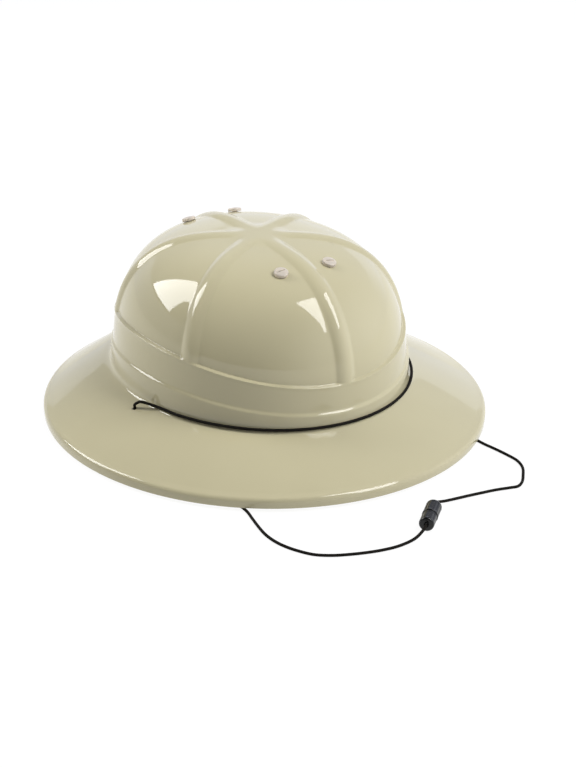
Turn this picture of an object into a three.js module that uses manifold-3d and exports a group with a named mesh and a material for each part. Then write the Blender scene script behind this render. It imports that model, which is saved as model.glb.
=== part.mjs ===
// Pith helmet: a moulded plastic sun helmet with six raised ribs, a raised band and an elastic chin cord.
// Millimetres, +Z up. The front faces -Y and the wearer's left is +X. The surface it rests on is z = 0.
import * as THREE from 'three';
import { mergeVertices } from 'three/addons/utils/BufferGeometryUtils.js';
import Module from 'manifold-3d';

const wasm = await Module();
wasm.setup();

// Rim and brim
const rimHalfWidth = 150;
const rimHalfLength = 156.3;
const lipHeight = 5.9;
const lipRound = 1.1;
const brimBulge = 0.8;
const wall = 2;

// Crown: the axis stands behind the rim's centre, and each part stands on the one below it
const crownBack = 7;
const crownHalfWidth = 93.4;
const crownHalfLength = 108.6;
const footHeight = 28.5;
const footDraft = 0.1;
const filletRise = 8;
const filletRun = 7.7;
const filletDrop = 3;
const stepAboveFoot = 9.6;
const stepArch = 10.1;
const stepRise = 1.5;
const bandHeight = 18;
const bandArch = 3.9;
const bandDraft = 0.5;
const ledgeDrop = 1.6;
const domeBelowShoulder = 6;
const domeRise = 71;
const planPower = 3.4;
const risePower = 2.1;

// Raised ribs and the star where they meet
const ribCount = 6;
const relief = 2.2;
const ribWidth = 6;
const ribFlank = 3.7;
const ribLean = THREE.MathUtils.degToRad(1.85);
const starRadius = 10;
const starFade = 14;

// Rivets, placed from the crown axis
const rivetSpread = 18.2;
const rivetForward = 58.5;
const rivetBehind = 63;
const rivetHead = 9.4;
const rivetHeadHeight = 2.7;
const rivetShank = 4;
const rivetCollar = 8;
const rivetCollarHeight = 1.2;
const rivetPlay = 0.5;
const slotLength = 5.8;
const slotWidth = 0.9;
const slotDepth = 0.8;

// Cord and clasp
const cordDiameter = 2;
const cordHoleBesideCrown = 11.6;
const cordHoleX = crownHalfWidth + cordHoleBesideCrown;
const cordHoleY = -10.2;
const cordHolePlay = 1.4;
const cordHoleDiameter = cordDiameter + cordHolePlay;
const cordEndRise = 1.2;
const claspLength = 25;
const claspSocket = 10.2;
const claspPlug = 9.6;
const claspPlugLength = 11;
const claspWall = 1.4;
const claspEndWall = 4;
const claspChamfer = 1.5;
const claspCentre = [1.5, -195.3];
const claspHeading = THREE.MathUtils.degToRad(43);
const gap = 0.3;

// How the cord stands at its holes: steps of the way out to the crown, and how far it hangs straight below
const crownCordLead = [[0, 0, 0], [-0.1, -0.2, 1.2], [-1.1, -2.2, 3.1], [-2.2, -4.6, 4.5]];
const cordPlumb = [0, 4, 9];
const cordStraightAtClasp = 4;

// The rim presses on the chin cord where the cord crosses under it, so the front stands a cord's height up
const crossingY = -120;
const tilt = Math.atan((cordDiameter + gap) / (rimHalfLength - crossingY));

// Fineness of the mesh
const panelColumns = 6;
const domeRings = 14;
const innerDomeRings = 11;
const topCrowding = 1.7;
const roundSides = 16;
const cordSides = 8;
const crownCordSteps = 30;
const chinCordSteps = 25;

// Routes of the free cord on the surface, each from below its hole to the clasp
const rightSideRoute = [
  [-104.9, -12, 12], [-105, -16, 5.2], [-105.2, -23.4, 2.1], [-104.8, -34, 1.2], [-102.4, -55, 1.1],
  [-98.4, -80, 1], [-93, -103, 1], [-89.2, -117, 1], [-88.8, -127, 1], [-90.6, -137, 1],
  [-92.6, -148, 1], [-93.8, -158, 1], [-93.2, -168, 1], [-90.8, -177, 1], [-86.8, -185.4, 1],
  [-81.2, -193.4, 1], [-72.6, -199.6, 1], [-63, -203.9, 1], [-53.3, -207.2, 1], [-43, -209.8, 1.1],
  [-32, -211.4, 1.6], [-20.5, -211, 3.1],
];
const leftSideRoute = [
  [104.9, -12, 12], [105, -16, 5.2], [105.2, -23.4, 2.1], [105, -34, 1.2], [102.9, -55, 1.1],
  [99.2, -80, 1], [95, -103, 1], [92.4, -117, 1], [92.9, -127, 1], [95, -138, 1],
  [96.7, -149, 1], [97.3, -158.5, 1], [94.6, -167.6, 1], [88, -176.8, 1], [81.4, -184, 1],
  [76, -186.9, 1], [70.3, -185.9, 1], [61.2, -183.7, 1], [50.6, -182.2, 1], [41, -181.3, 1.2],
  [31.5, -181.6, 2], [21.5, -182.6, 3.4],
];

// Heights and sections of the crown, worked out from the sizes above
const stepHeight = footHeight + stepAboveFoot;
const shoulderHeight = stepHeight + bandHeight;
const domeBase = shoulderHeight - domeBelowShoulder;
const domeTop = domeBase + domeRise;
const raisedOut = relief + bandDraft;
const footOut = raisedOut + stepRise + footDraft;
const footRise = Math.min(filletRise, stepAboveFoot - 1.5 * stepRise);

// Radius of an ellipse about the crown axis, in the direction theta from the front
function crownRadius(theta, out) {
  const a = crownHalfWidth + out;
  const b = crownHalfLength + out;
  return a * b / Math.hypot(b * Math.sin(theta), a * Math.cos(theta));
}

// Distance from the crown axis to the rim, whose own centre lies forward of it
function rimRadius(theta) {
  const p = (Math.sin(theta) / rimHalfWidth) ** 2 + (Math.cos(theta) / rimHalfLength) ** 2;
  const q = crownBack * Math.cos(theta) / rimHalfLength ** 2;
  const s = (crownBack / rimHalfLength) ** 2 - 1;
  return (q + Math.sqrt(q * q - p * s)) / p;
}

// The step and the shoulder arch up towards the sides: 0 at the front and back, 1 at the sides
function sideShare(theta) {
  return (crownRadius(theta, 0) * Math.sin(theta) / crownHalfWidth) ** 2;
}

function stepZ(theta) {
  return stepHeight + stepArch * sideShare(theta);
}

function shoulderZ(theta) {
  return shoulderHeight + (stepArch + bandArch) * sideShare(theta);
}

// A point of the dome's panels in the vertical plane of theta, with the outward normal in that plane
function domePoint(theta, psi) {
  const radius = crownRadius(theta, 0);
  const at = (angle) => [
    radius * Math.cos(angle) ** (2 / planPower),
    domeBase + domeRise * Math.sin(angle) ** (2 / risePower),
  ];
  const nudge = 0.004;
  const low = at(Math.max(psi - nudge, nudge));
  const high = at(Math.min(psi + nudge, Math.PI / 2 - nudge));
  const run = Math.hypot(high[0] - low[0], high[1] - low[1]);
  const [r, z] = at(psi);
  return { r, z, nr: (high[1] - low[1]) / run, nz: (low[0] - high[0]) / run };
}

// The dome's parameter where the panels meet the shoulder, and then at a share of the way to the top
function domeAngle(theta, share) {
  const start = Math.asin(((shoulderZ(theta) - domeBase) / domeRise) ** (risePower / 2));
  return start + (Math.PI / 2 - start) * (1 - (1 - share) ** topCrowding);
}

// Outside of the foot: the fillet between the wall and the brim is a curve drawn in to its corner
function footCurve(theta, t) {
  const corner = [crownRadius(theta, footOut), footHeight];
  const onWall = [corner[0] - footDraft, corner[1] + footRise];
  const onBrim = [corner[0] + filletRun, corner[1] - filletDrop];
  return [0, 1].map((i) => onWall[i] * (1 - t) ** 3 + 3 * corner[i] * t * (1 - t) + onBrim[i] * t ** 3);
}

// The brim's top, from the end of the fillet (share 0) to the rounded edge (share 1)
function brimPoint(theta, share) {
  const [r0, z0] = footCurve(theta, 1);
  const r1 = rimRadius(theta) - lipRound;
  const bulge = 4 * brimBulge * share * (1 - share);
  return [r0 + (r1 - r0) * share, z0 + (lipHeight - z0) * share + bulge];
}

function brimSlope(theta) {
  const [r0, z0] = brimPoint(theta, 0);
  const [r1, z1] = brimPoint(theta, 1);
  return Math.atan((z0 - z1) / (r1 - r0));
}

// Direction of a rib's centre line: the ribs at the sides lean towards the front and the back
function ribAngle(rib) {
  const even = 2 * Math.PI * rib / ribCount;
  return even - ribLean * Math.sin(2 * even);
}

// Columns from one rib to the next at a radius: each has its direction and whether it lies on a rib
function sectorColumns(rib, radius) {
  const halfSector = Math.PI / ribCount;
  const angleOf = (halfWidth, most) => {
    const angle = Math.asin(Math.min(halfWidth / radius, 1));
    return Math.min(angle, most * halfSector);
  };
  const start = ribAngle(rib);
  const end = ribAngle(rib + 1);
  const edge = angleOf(ribWidth / 2, 0.7);
  const foot = angleOf(ribWidth / 2 + ribFlank, 0.85);
  const columns = [[start, true], [start + edge, true]];
  for (let i = 0; i <= panelColumns; i += 1) {
    columns.push([start + foot + (end - start - 2 * foot) * i / panelColumns, false]);
  }
  columns.push([end - edge, true]);
  return columns;
}

// One ring of points: place gives [r, z] for a column's direction and for whether it lies on a rib
function ring(radius, place) {
  const points = [];
  for (let rib = 0; rib < ribCount; rib += 1) {
    for (const [theta, onRib] of sectorColumns(rib, radius)) {
      const [r, z] = place(theta, onRib);
      points.push([r * Math.sin(theta), crownBack - r * Math.cos(theta), z]);
    }
  }
  return points;
}

// A ring of the dome, standing off the panels by the relief where it is raised, and moved by inset
function domeRing(share, inset) {
  const middle = domePoint(Math.PI / 4, domeAngle(Math.PI / 4, share));
  return ring(middle.r, (theta, onRib) => {
    const p = domePoint(theta, domeAngle(theta, share));
    const star = THREE.MathUtils.clamp((starRadius + starFade - p.r) / starFade, 0, 1);
    const out = relief * (onRib ? 1 : star) - inset;
    return [p.r + out * p.nr, p.z + out * p.nz];
  });
}

function lowRing(place) {
  return ring(crownRadius(Math.PI / 4, 0), place);
}

function shoulderPoint(theta) {
  const p = domePoint(theta, domeAngle(theta, 0));
  return [p.r + relief * p.nr, p.z + relief * p.nz - ledgeDrop];
}

// Rings of the outside, from the rim up to the star
function outerRings() {
  const rings = [
    lowRing((theta) => [rimRadius(theta), 0]),
    lowRing((theta) => [rimRadius(theta), lipHeight - lipRound]),
    lowRing((theta) => [rimRadius(theta) - 0.3 * lipRound, lipHeight - 0.3 * lipRound]),
  ];
  for (const share of [1, 0.75, 0.5, 0.25]) {
    rings.push(lowRing((theta) => brimPoint(theta, share)));
  }
  for (const t of [1, 0.74, 0.5, 0.26, 0]) {
    rings.push(lowRing((theta) => footCurve(theta, t)));
  }
  rings.push(lowRing((theta) => [crownRadius(theta, raisedOut + stepRise), stepZ(theta) - stepRise]));
  rings.push(lowRing((theta) => [crownRadius(theta, raisedOut), stepZ(theta)]));
  rings.push(lowRing((theta) => {
    const [r, z] = shoulderPoint(theta);
    return [(r + crownRadius(theta, raisedOut)) / 2, (z + stepZ(theta)) / 2];
  }));
  rings.push(lowRing(shoulderPoint));
  for (let k = 0; k < domeRings; k += 1) {
    rings.push(domeRing(k / domeRings, 0));
  }
  return rings;
}

// Rings of the inside, from the star down to the rim, one wall in from the outside
function innerRings() {
  const rings = [];
  for (let k = innerDomeRings - 1; k >= 0; k -= 1) {
    rings.push(domeRing(k / innerDomeRings, wall));
  }
  rings.push(lowRing((theta) => {
    const [r, z] = shoulderPoint(theta);
    return [r - wall, z - wall];
  }));
  rings.push(lowRing((theta) => [crownRadius(theta, raisedOut) - wall, stepZ(theta) - stepRise]));
  rings.push(lowRing((theta) => {
    const [r, z] = footCurve(theta, 0);
    return [r - wall, z - wall];
  }));
  for (const share of [0, 0.5]) {
    rings.push(lowRing((theta) => {
      const [r, z] = brimPoint(theta, share);
      const slope = brimSlope(theta);
      return [r - wall * Math.sin(slope), z - wall * Math.cos(slope)];
    }));
  }
  rings.push(lowRing((theta) => {
    const slope = brimSlope(theta);
    const rise = (wall - lipRound) * Math.tan(slope);
    return [rimRadius(theta) - wall, lipHeight + rise - wall / Math.cos(slope)];
  }));
  rings.push(lowRing((theta) => [rimRadius(theta) - wall, 0]));
  return rings;
}

// A closed skin through rings of equal length, with a pole at each end
function skin(rings, firstPole, lastPole) {
  const columns = rings[0].length;
  const positions = [firstPole, ...rings.flat(), lastPole];
  const last = positions.length - 1;
  const faces = [];
  for (let i = 0; i < columns; i += 1) {
    const j = (i + 1) % columns;
    faces.push([0, 1 + j, 1 + i]);
    for (let k = 0; k + 1 < rings.length; k += 1) {
      const low = 1 + k * columns;
      const high = low + columns;
      faces.push([low + i, low + j, high + j], [low + i, high + j, high + i]);
    }
    const top = 1 + (rings.length - 1) * columns;
    faces.push([top + i, top + j, last]);
  }
  const geometry = new THREE.BufferGeometry();
  geometry.setAttribute('position', new THREE.Float32BufferAttribute(positions.flat(), 3));
  geometry.setIndex(faces.flat());
  return geometry;
}

function toSolid(geometry) {
  const bare = geometry.clone();
  bare.deleteAttribute('normal');
  bare.deleteAttribute('uv');
  const merged = mergeVertices(bare, 1e-4);
  const vertProperties = new Float32Array(merged.attributes.position.array);
  const triVerts = new Uint32Array(merged.index.array);
  return new wasm.Manifold(new wasm.Mesh({ numProp: 3, vertProperties, triVerts }));
}

function toGeometry(solid) {
  const mesh = solid.getMesh();
  const geometry = new THREE.BufferGeometry();
  geometry.setAttribute('position', new THREE.BufferAttribute(new Float32Array(mesh.vertProperties), 3));
  geometry.setIndex(new THREE.BufferAttribute(new Uint32Array(mesh.triVerts), 1));
  geometry.computeVertexNormals();
  return geometry;
}

// Where a rivet sits: the panel's surface point above (x, distance along -Y from the axis) and its normal
function rivetSeat(x, forward) {
  const theta = Math.atan2(x, forward);
  const reach = Math.hypot(x, forward);
  const share = (reach / crownRadius(theta, 0)) ** planPower;
  const psi = Math.acos(Math.sqrt(share));
  const p = domePoint(theta, psi);
  const point = new THREE.Vector3(x, crownBack - forward, p.z);
  const normal = new THREE.Vector3(p.nr * Math.sin(theta), -p.nr * Math.cos(theta), p.nz).normalize();
  return { point, normal };
}

const rivetSeats = {
  rivet_front_right: rivetSeat(-rivetSpread, rivetForward),
  rivet_front_left: rivetSeat(rivetSpread, rivetForward),
  rivet_rear_right: rivetSeat(-rivetSpread, -rivetBehind),
  rivet_rear_left: rivetSeat(rivetSpread, -rivetBehind),
};

// A cylinder along a direction, used to cut a hole
function drill(centre, direction, diameter, length) {
  const geometry = new THREE.CylinderGeometry(diameter / 2, diameter / 2, length, roundSides);
  const turn = new THREE.Quaternion().setFromUnitVectors(new THREE.Vector3(0, 1, 0), direction);
  geometry.applyQuaternion(turn);
  geometry.translate(centre.x, centre.y, centre.z);
  return toSolid(geometry);
}

// Height of the brim's top above a plan point
function brimTop(x, y) {
  const theta = Math.atan2(x, crownBack - y);
  const reach = Math.hypot(x, crownBack - y);
  const [inner] = brimPoint(theta, 0);
  const [outer] = brimPoint(theta, 1);
  return brimPoint(theta, (reach - inner) / (outer - inner))[1];
}

function shellGeometry() {
  const innerTop = [0, crownBack, domeTop + relief - wall];
  const outerTop = [0, crownBack, domeTop + relief];
  const rings = [...innerRings(), ...outerRings()];
  let solid = toSolid(skin(rings, innerTop, outerTop));
  for (const side of [-1, 1]) {
    const centre = new THREE.Vector3(side * cordHoleX, cordHoleY, brimTop(cordHoleX, cordHoleY));
    solid = solid.subtract(drill(centre, new THREE.Vector3(0, 0, 1), cordHoleDiameter, 6 * wall));
  }
  for (const seat of Object.values(rivetSeats)) {
    solid = solid.subtract(drill(seat.point, seat.normal, rivetShank + 2 * gap, 5 * wall));
  }
  return toGeometry(solid);
}

function lathe(profile, sides) {
  return new THREE.LatheGeometry(profile.map(([r, y]) => new THREE.Vector2(r, y)), sides);
}

// A rivet along +Y: collar inside the wall, shank through it, flat slotted head outside
function rivetGeometry() {
  const under = -wall - gap - rivetPlay;
  const profile = [
    [0, under - rivetCollarHeight],
    [rivetCollar / 2, under - rivetCollarHeight],
    [rivetCollar / 2, under],
    [rivetShank / 2, under],
    [rivetShank / 2, gap],
    [rivetHead / 2, gap],
    [rivetHead / 2, gap + 0.65 * rivetHeadHeight],
    [0.42 * rivetHead, gap + 0.93 * rivetHeadHeight],
    [0, gap + rivetHeadHeight],
  ];
  const slot = new THREE.BoxGeometry(slotLength, 2 * slotDepth, slotWidth);
  slot.translate(0, gap + rivetHeadHeight, 0);
  return toGeometry(toSolid(lathe(profile, roundSides)).subtract(toSolid(slot)));
}

function tube(points, steps) {
  const section = new THREE.Shape();
  for (let i = 0; i < cordSides; i += 1) {
    const angle = 2 * Math.PI * (i + 0.5) / cordSides;
    const [x, y] = [Math.cos(angle), Math.sin(angle)].map((value) => value * cordDiameter / 2);
    if (i === 0) section.moveTo(x, y);
    else section.lineTo(x, y);
  }
  section.closePath();
  const extrudePath = new THREE.CatmullRomCurve3(points, false, 'centripetal');
  return new THREE.ExtrudeGeometry(section, { steps, extrudePath, bevelEnabled: false });
}

// Centre line of the cord that lies in the fillet round the crown's front
function cordSeat(theta) {
  const [r, z] = footCurve(theta, 0.5);
  const wallEnd = footCurve(theta, 0);
  const brimEnd = footCurve(theta, 1);
  const run = Math.hypot(brimEnd[0] - wallEnd[0], wallEnd[1] - brimEnd[1]);
  const off = cordDiameter / 2 + 1.2 * gap;
  const reach = r + off * (wallEnd[1] - brimEnd[1]) / run;
  const height = z + off * (brimEnd[0] - wallEnd[0]) / run;
  return new THREE.Vector3(reach * Math.sin(theta), crownBack - reach * Math.cos(theta), height);
}

// The held stretch comes out of one hole, lies round the front of the crown and goes in at the other
function crownCordGeometry() {
  const holeTop = brimTop(cordHoleX, cordHoleY) + cordEndRise + gap;
  const side = (sign) => crownCordLead.map(([x, y, z]) => {
    return new THREE.Vector3(sign * (cordHoleX + x), cordHoleY + y, holeTop + z);
  });
  const arc = [];
  const reach = THREE.MathUtils.degToRad(72);
  const pieces = 14;
  for (let i = 0; i <= pieces; i += 1) {
    arc.push(cordSeat(-reach + 2 * reach * i / pieces));
  }
  return tube([...side(-1), ...arc, ...side(1).reverse()], crownCordSteps);
}

// A point of the tilted helmet, seen from the surface it rests on
function onSurface(x, y, z) {
  const point = new THREE.Vector3(x, y - rimHalfLength, z);
  point.applyAxisAngle(new THREE.Vector3(1, 0, 0), -tilt);
  return point.add(new THREE.Vector3(0, rimHalfLength, 0));
}

function claspPoint(along) {
  const [x, y] = claspCentre;
  const run = new THREE.Vector3(Math.cos(claspHeading), Math.sin(claspHeading), 0);
  return run.multiplyScalar(along).add(new THREE.Vector3(x, y, claspSocket / 2));
}

// A free stretch starts straight down through its hole and ends square to its half of the clasp
function chinCordGeometry(side, route) {
  const top = onSurface(side * cordHoleX, cordHoleY, brimTop(cordHoleX, cordHoleY) + cordEndRise);
  const start = cordPlumb.map((drop) => new THREE.Vector3(top.x, top.y, top.z - drop));
  const end = claspPoint(side * (claspLength / 2 + gap));
  const beforeEnd = claspPoint(side * (claspLength / 2 + gap + cordStraightAtClasp));
  const floor = route.map(([x, y, z]) => new THREE.Vector3(x, y, z));
  return tube([...start, ...floor, beforeEnd, end], chinCordSteps);
}

// Clasp halves along +Y, about the clasp's centre: the socket takes the plug's post
function claspSocketGeometry() {
  const end = claspLength / 2;
  const mouth = claspPlugLength - end;
  const bore = claspSocket / 2 - claspWall;
  return lathe([
    [0, end - claspEndWall], [bore, end - claspEndWall], [bore, mouth], [claspSocket / 2, mouth],
    [claspSocket / 2, end - claspChamfer], [claspSocket / 2 - claspChamfer, end], [0, end],
  ], roundSides);
}

function claspPlugGeometry() {
  const end = -claspLength / 2;
  const face = end + claspPlugLength - gap;
  const post = claspSocket / 2 - claspWall - gap;
  const tip = claspLength / 2 - claspEndWall - gap;
  return lathe([
    [0, end], [claspPlug / 2 - claspChamfer, end], [claspPlug / 2, end + claspChamfer],
    [claspPlug / 2, face], [post, face], [post, tip - claspChamfer / 2],
    [post - claspChamfer / 2, tip], [0, tip],
  ], roundSides);
}

function mesh(name, geometry, colour, roughness) {
  const material = new THREE.MeshStandardMaterial({ color: colour, roughness, metalness: 0 });
  const piece = new THREE.Mesh(geometry, material);
  piece.name = name;
  return piece;
}

const khaki = 0xc8c09c;
const clearPlastic = 0xdcd6d2;
const black = 0x121212;

// Everything that tilts with the helmet turns about the back of the rim
const tilted = new THREE.Group();
tilted.add(mesh('helmet_shell', shellGeometry(), khaki, 0.2));
tilted.add(mesh('crown_cord', crownCordGeometry(), black, 0.8));
for (const [name, seat] of Object.entries(rivetSeats)) {
  const rivet = mesh(name, rivetGeometry(), clearPlastic, 0.2);
  rivet.position.copy(seat.point);
  rivet.quaternion.setFromUnitVectors(new THREE.Vector3(0, 1, 0), seat.normal);
  tilted.add(rivet);
}
tilted.position.set(0, -rimHalfLength, 0);
const hinge = new THREE.Group();
hinge.add(tilted);
hinge.rotation.x = -tilt;
hinge.position.set(0, rimHalfLength, 0);

const clasp = new THREE.Group();
clasp.add(mesh('clasp_socket', claspSocketGeometry(), black, 0.5));
clasp.add(mesh('clasp_plug', claspPlugGeometry(), black, 0.5));
clasp.position.copy(claspPoint(0));
clasp.rotation.z = claspHeading - Math.PI / 2;

const helmet = new THREE.Group();
helmet.add(hinge);
helmet.add(mesh('chin_cord_left', chinCordGeometry(1, leftSideRoute), black, 0.8));
helmet.add(mesh('chin_cord_right', chinCordGeometry(-1, rightSideRoute), black, 0.8));
helmet.add(clasp);

export default helmet;
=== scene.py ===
# Looks of the pith helmet: glossy khaki shell, pale plastic rivets, black braided elastic cord and clasp.
# Metres, +Z up. The front faces -Y and the wearer's left is +X. The surface it rests on is z = 0.
# The helmet's own sizes are in millimetres, as in the part. Camera, floor and light are in metres.
import math
import bpy
import bmesh
import numpy as np
from mathutils import Matrix, Vector


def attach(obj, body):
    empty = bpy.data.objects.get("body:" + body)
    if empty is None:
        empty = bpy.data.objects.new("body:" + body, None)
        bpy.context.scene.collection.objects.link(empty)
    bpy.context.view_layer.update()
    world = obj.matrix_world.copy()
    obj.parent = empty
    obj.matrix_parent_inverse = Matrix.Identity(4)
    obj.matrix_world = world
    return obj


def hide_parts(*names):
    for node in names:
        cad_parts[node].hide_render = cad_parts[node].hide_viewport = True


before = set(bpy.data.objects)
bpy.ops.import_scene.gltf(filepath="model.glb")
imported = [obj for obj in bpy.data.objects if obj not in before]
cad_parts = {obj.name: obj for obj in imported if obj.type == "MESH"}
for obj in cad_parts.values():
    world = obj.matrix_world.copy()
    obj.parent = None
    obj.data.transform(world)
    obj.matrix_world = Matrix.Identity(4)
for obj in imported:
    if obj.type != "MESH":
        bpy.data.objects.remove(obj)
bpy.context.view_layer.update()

MM = 0.001

# Rim and brim
RIM_HALF_WIDTH = 150.0
RIM_HALF_LENGTH = 156.3
LIP_HEIGHT = 5.9
LIP_ROUND = 1.1
BRIM_BULGE = 0.8
WALL = 2.0

# Crown: its axis stands behind the rim's centre, and each part stands on the one below it
CROWN_BACK = 7.0
CROWN_HALF_WIDTH = 93.4
CROWN_HALF_LENGTH = 108.6
FOOT_HEIGHT = 28.5
FOOT_DRAFT = 0.1
FILLET_RISE = 8.0
FILLET_RUN = 7.7
FILLET_DROP = 3.0
STEP_ABOVE_FOOT = 9.6
STEP_ARCH = 10.1
STEP_RISE = 1.5
BAND_HEIGHT = 18.0
BAND_ARCH = 3.9
BAND_DRAFT = 0.5
LEDGE_DROP = 1.6
DOME_BELOW_SHOULDER = 6.0
DOME_RISE = 71.0
PLAN_POWER = 3.4
RISE_POWER = 2.1

# Raised ribs and the star where they meet
RIB_COUNT = 6
RELIEF = 2.2
RIB_WIDTH = 6.0
RIB_FLANK = 3.7
RIB_LEAN = math.radians(1.85)
STAR_RADIUS = 10.0
STAR_FADE = 14.0

# Rivets, placed from the crown's axis
RIVET_SPREAD = 18.2
RIVET_FORWARD = 58.5
RIVET_BEHIND = 63.0
RIVET_HEAD = 9.4
RIVET_HEAD_HEIGHT = 2.7
RIVET_SHANK = 4.0
RIVET_COLLAR = 8.0
RIVET_COLLAR_HEIGHT = 1.2
RIVET_PLAY = 0.5
SLOT_LENGTH = 5.8
SLOT_WIDTH = 0.9
SLOT_DEPTH = 0.8

# Cord and clasp
CORD_DIAMETER = 2.0
CORD_HOLE_BESIDE_CROWN = 11.6
CORD_HOLE_Y = -10.2
CORD_HOLE_PLAY = 1.4
CORD_END_RISE = 1.2
CLASP_LENGTH = 25.0
CLASP_SOCKET = 10.2
CLASP_PLUG = 9.6
CLASP_PLUG_LENGTH = 11.0
CLASP_WALL = 1.4
CLASP_CENTRE = (1.5, -195.3)
CLASP_HEADING = math.radians(43)
GAP = 0.3

# The cord at its holes: steps of the way out to the crown, and how far it hangs straight below
CROWN_CORD_LEAD = [(0, 0, 0), (-0.1, -0.2, 1.2), (-1.1, -2.2, 3.1), (-2.2, -4.6, 4.5)]
CORD_PLUMB = (0, 4, 9)
CORD_STRAIGHT_AT_CLASP = 4.0

# The rim presses on the chin cord where the cord crosses under it, so the front stands a cord's height up
CROSSING_Y = -120.0
TILT = round(math.atan((CORD_DIAMETER + GAP) / (RIM_HALF_LENGTH - CROSSING_Y)), 6)

# Routes of the free cord on the surface, each from below its hole to the clasp
RIGHT_SIDE_ROUTE = [
    (-104.9, -12, 12), (-105, -16, 5.2), (-105.2, -23.4, 2.1), (-104.8, -34, 1.2), (-102.4, -55, 1.1),
    (-98.4, -80, 1), (-93, -103, 1), (-89.2, -117, 1), (-88.8, -127, 1), (-90.6, -137, 1),
    (-92.6, -148, 1), (-93.8, -158, 1), (-93.2, -168, 1), (-90.8, -177, 1), (-86.8, -185.4, 1),
    (-81.2, -193.4, 1), (-72.6, -199.6, 1), (-63, -203.9, 1), (-53.3, -207.2, 1), (-43, -209.8, 1.1),
    (-32, -211.4, 1.6), (-20.5, -211, 3.1),
]
LEFT_SIDE_ROUTE = [
    (104.9, -12, 12), (105, -16, 5.2), (105.2, -23.4, 2.1), (105, -34, 1.2), (102.9, -55, 1.1),
    (99.2, -80, 1), (95, -103, 1), (92.4, -117, 1), (92.9, -127, 1), (95, -138, 1),
    (96.7, -149, 1), (97.3, -158.5, 1), (94.6, -167.6, 1), (88, -176.8, 1), (81.4, -184, 1),
    (76, -186.9, 1), (70.3, -185.9, 1), (61.2, -183.7, 1), (50.6, -182.2, 1), (41, -181.3, 1.2),
    (31.5, -181.6, 2), (21.5, -182.6, 3.4),
]

# Sizes that follow
STEP_HEIGHT = FOOT_HEIGHT + STEP_ABOVE_FOOT
SHOULDER_HEIGHT = STEP_HEIGHT + BAND_HEIGHT
DOME_BASE = SHOULDER_HEIGHT - DOME_BELOW_SHOULDER
RAISED_OUT = RELIEF + BAND_DRAFT
FOOT_OUT = RAISED_OUT + STEP_RISE + FOOT_DRAFT
FOOT_RISE = min(FILLET_RISE, STEP_ABOVE_FOOT - 1.5 * STEP_RISE)
CORD_RADIUS = CORD_DIAMETER / 2
CORD_HOLE_X = CROWN_HALF_WIDTH + CORD_HOLE_BESIDE_CROWN
CORD_HOLE_RADIUS = (CORD_DIAMETER + CORD_HOLE_PLAY) / 2
SOCKET_RADIUS = CLASP_SOCKET / 2
PLUG_RADIUS = CLASP_PLUG / 2
CLASP_HALF = CLASP_LENGTH / 2

# Roundings of the moulding: the lip's lower edges, its top, its inner corner, and the step
LIP_EDGE = 0.35
LIP_SOFTNESS = 2.5
LIP_INNER_ROUND = 1.2
STEP_SOFTNESS = 0.9

RIB_FOOT_SOFTNESS = 0.25
# Share of the relief that is left at the star, and how far out from the star it is full again
STAR_RELIEF = 0.68
STAR_REACH = 50.0


# Helpers on shapes

def on_surface(points):
    """Points of the helmet, in millimetres, turned as it stands on its cord, in metres."""
    p = np.asarray(points, float)
    y = p[..., 1] - RIM_HALF_LENGTH
    z = p[..., 2]
    c, s = math.cos(TILT), math.sin(TILT)
    return np.stack([p[..., 0], y * c + z * s + RIM_HALF_LENGTH, z * c - y * s], -1) * MM


def make_object(name, vertices, faces, smooth=True):
    mesh = bpy.data.meshes.new(name)
    mesh.from_pydata([tuple(v) for v in vertices], [], faces)
    mesh.validate()
    mesh.update()
    if smooth:
        mesh.polygons.foreach_set("use_smooth", [True] * len(mesh.polygons))
    made = bpy.data.objects.new(name, mesh)
    bpy.context.scene.collection.objects.link(made)
    return made


def object_from_bmesh(name, bm):
    mesh = bpy.data.meshes.new(name)
    bm.to_mesh(mesh)
    bm.free()
    made = bpy.data.objects.new(name, mesh)
    bpy.context.scene.collection.objects.link(made)
    return made


def declare(made, node):
    """Hangs the piece under the root body and hides the imported part of the node that it stands for."""
    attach(made, "root")
    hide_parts(node)


def ring_faces(rows, columns):
    """Faces between closed rings that follow one another."""
    faces = []
    for k in range(rows - 1):
        for i in range(columns):
            j = (i + 1) % columns
            faces.append((k * columns + i, k * columns + j, (k + 1) * columns + j, (k + 1) * columns + i))
    return faces


def closed_tube_faces(rows, columns):
    """Faces between closed rings, and a cap at each end."""
    first_cap = tuple(range(columns - 1, -1, -1))
    last_cap = tuple(range((rows - 1) * columns, rows * columns))
    return [*ring_faces(rows, columns), first_cap, last_cap]


def mark_sharp(made, degrees):
    """Edges that bend more than this stay crisp, and the rest shade smoothly."""
    bm = bmesh.new()
    bm.from_mesh(made.data)
    for edge in bm.edges:
        if len(edge.link_faces) == 2 and edge.calc_face_angle(0) > math.radians(degrees):
            edge.smooth = False
    bm.to_mesh(made.data)
    bm.free()


def cut(made, cutter):
    """Takes the cutter out of the piece."""
    change = made.modifiers.new("cut", "BOOLEAN")
    change.operation = "DIFFERENCE"
    change.solver = "EXACT"
    change.object = cutter
    graph = bpy.context.evaluated_depsgraph_get()
    mesh = bpy.data.meshes.new_from_object(made.evaluated_get(graph))
    made.modifiers.clear()
    made.data = mesh
    bpy.data.objects.remove(cutter)


# Camera: its place and axes, in metres, with the focal length and the main point in the picture's pixels

CAMERA_PLACE = Vector((-0.61392, -1.01892, 0.57479))
CAMERA_RIGHT = Vector((0.8576, -0.5143, 0.00428))
CAMERA_UP = Vector((0.20375, 0.34737, 0.91533))
CAMERA_BACK = Vector((-0.47224, -0.78411, 0.40269))
FOCAL_PIXELS = 1909.8
PICTURE = (576, 768)
MAIN_POINT = (264.0, 335.6)
SENSOR_WIDTH = 36.0
NEAREST_SEEN = 0.05
FARTHEST_SEEN = 60.0


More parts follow.
